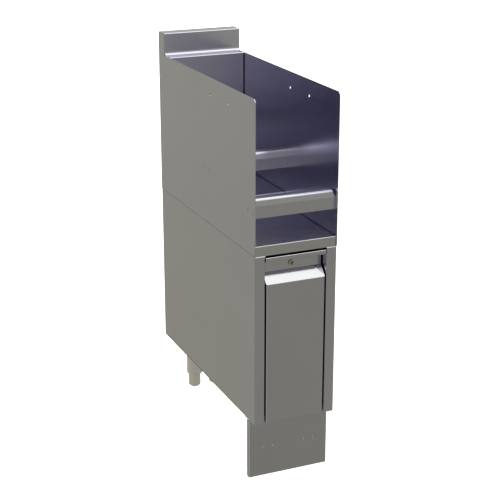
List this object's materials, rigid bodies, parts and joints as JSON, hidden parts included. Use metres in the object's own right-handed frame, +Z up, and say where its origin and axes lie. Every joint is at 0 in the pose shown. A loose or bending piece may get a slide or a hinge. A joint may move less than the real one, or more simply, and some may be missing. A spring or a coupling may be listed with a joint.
{
  "type": "underbar unit",
  "caption": "Narrow stainless underbar unit with a stepped open bottle well, bottle rails and backsplash over a lockable pull-out, with kick plate and adjustable legs.",
  "frame": {"origin": "on the floor, under the middle of the unit's width and depth", "axes": "+X to the right seen from the front, +Y from the front faces to the back, +Z up"},
  "size_m": [0.2032, 0.603, 0.9722],
  "materials": {
    "stainless": "satin",
    "stainless_inside": "satin",
    "zinc": "zinc plated",
    "race": "matte",
    "brass": "satin",
    "rubber": "matte"
  },
  "bodies": {
    "cabinet": {"upper_left_side": "stainless", "upper_right_side": "stainless", "backsplash": "stainless", "lower_tier": "stainless", "upper_tier": "stainless", "front_bottle_rail": "stainless", "rear_bottle_rail": "stainless", "base_left_side": "stainless", "base_right_side": "stainless", "leg_tubes": "stainless", "kick_plate": "stainless", "upper_back": "stainless_inside", "tier_bar_front": "stainless_inside", "tier_bar_middle": "stainless_inside", "tier_bar_rear": "stainless_inside", "base_back": "stainless_inside", "base_floor": "stainless_inside", "base_top_rail": "stainless_inside", "base_rear_rail": "stainless_inside", "front_leg_bar": "stainless_inside", "rear_leg_bar": "stainless_inside", "slide_bracket_left": "stainless_inside", "slide_bracket_right": "stainless_inside", "back_rivets": "zinc", "joining_bolts": "zinc", "joining_nuts": "zinc", "lock_strike": "zinc", "leg_sockets": "zinc", "leg_bolts": "zinc", "leg_inserts": "zinc", "kick_clamps": "zinc", "kick_screws": "zinc", "slide_screws": "zinc", "slide_outer_left": "zinc", "slide_outer_right": "zinc", "door_bumpers": "rubber"},
    "drawer": {"drawer_front": "stainless", "drawer_liner": "stainless_inside", "drawer_body": "stainless_inside", "drawer_back": "stainless_inside", "drawer_angles": "zinc", "drawer_screws": "zinc", "bottle_guard": "stainless", "slide_inner_left": "zinc", "slide_inner_right": "zinc", "lock_body": "brass", "lock_nut": "zinc"},
    "lock": {"lock_plug": "brass", "lock_cam": "zinc", "cam_screw": "zinc"},
    "slide_middle_left": {"slide_middle_left": "zinc", "slide_balls_left": "race"},
    "slide_middle_right": {"slide_middle_right": "zinc", "slide_balls_right": "race"},
    "foot_front_left": {"foot_front_left": "stainless"},
    "foot_front_right": {"foot_front_right": "stainless"},
    "foot_rear_left": {"foot_rear_left": "stainless"},
    "foot_rear_right": {"foot_rear_right": "stainless"}
  },
  "joints": [
    {"name": "drawer_pull", "type": "slide", "parent": "cabinet", "child": "drawer", "axis": [0, -1, 0], "range_m": [0, 0.48]},
    {"name": "slide_left_run", "type": "slide", "parent": "cabinet", "child": "slide_middle_left", "axis": [0, -1, 0], "range_m": [0, 0.24]},
    {"name": "slide_right_run", "type": "slide", "parent": "cabinet", "child": "slide_middle_right", "axis": [0, -1, 0], "range_m": [0, 0.24]},
    {"name": "lock_turn", "type": "hinge", "parent": "drawer", "child": "lock", "pos_m": [0, -0.2778, 0.5299], "axis": [0, 1, 0], "range_deg": [0, 90]},
    {"name": "foot_front_left_screw", "type": "slide", "parent": "cabinet", "child": "foot_front_left", "axis": [0, 0, -1], "range_m": [0, 0.03]},
    {"name": "foot_front_right_screw", "type": "slide", "parent": "cabinet", "child": "foot_front_right", "axis": [0, 0, -1], "range_m": [0, 0.03]},
    {"name": "foot_rear_left_screw", "type": "slide", "parent": "cabinet", "child": "foot_rear_left", "axis": [0, 0, -1], "range_m": [0, 0.03]},
    {"name": "foot_rear_right_screw", "type": "slide", "parent": "cabinet", "child": "foot_rear_right", "axis": [0, 0, -1], "range_m": [0, 0.03]}
  ],
  "couplings": [
    {"joint": "slide_left_run", "follows": "drawer_pull", "ratio": 0.5},
    {"joint": "slide_right_run", "follows": "drawer_pull", "ratio": 0.5}
  ]
}
